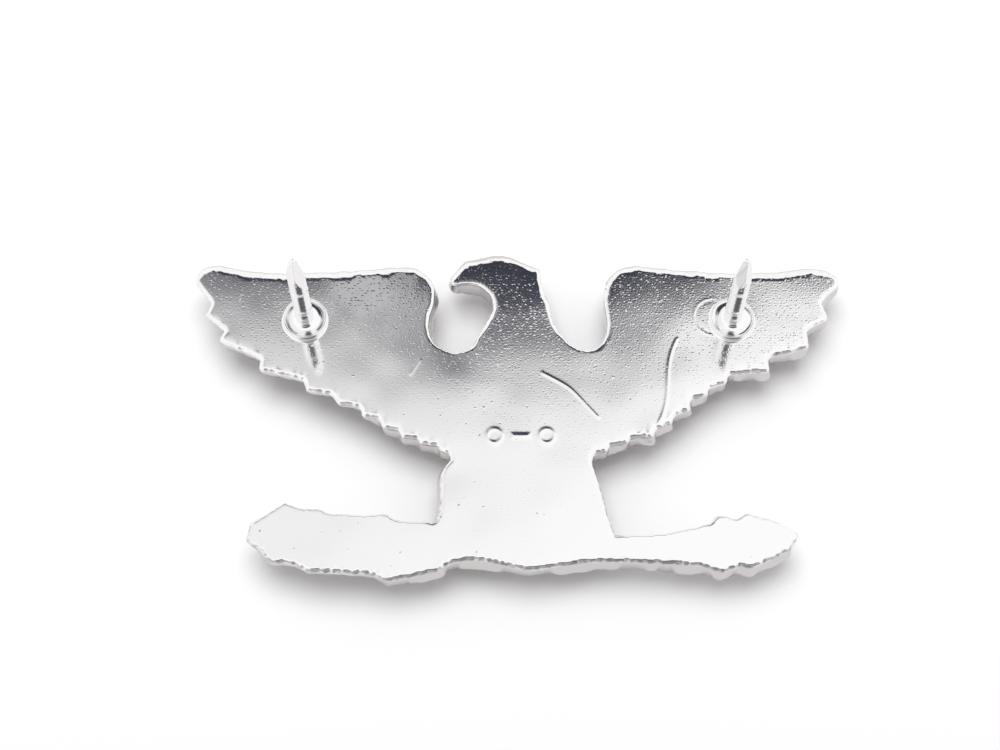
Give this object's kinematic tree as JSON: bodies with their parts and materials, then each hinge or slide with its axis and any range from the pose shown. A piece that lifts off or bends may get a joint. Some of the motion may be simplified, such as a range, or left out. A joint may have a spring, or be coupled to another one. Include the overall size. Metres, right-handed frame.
{
  "type": "cap badge",
  "caption": "Spread-eagle badge with a flat back and two grooved, pointed posts for clutch fasteners.",
  "frame": {"origin": "midway between the two posts' axes, on the flat back face of the badge", "axes": "+Z along the posts, away from the back face; +X from wing tip to wing tip; +Y towards the eagle's head"},
  "size_m": [0.0382, 0.0203, 0.0109],
  "materials": {
    "silver_plate": "bright silver plate over a struck brass plate, fine orange-peel grain on the back",
    "pad_metal": "bright plated, slightly warm",
    "pin_metal": "bright plated turned wire",
    "solder": "smooth plated solder"
  },
  "bodies": {
    "root": {"eagle_body": "silver_plate", "left_pad": "pad_metal", "left_pin": "pin_metal", "left_solder": "solder", "right_pad": "pad_metal", "right_pin": "pin_metal", "right_solder": "solder"}
  },
  "joints": []
}
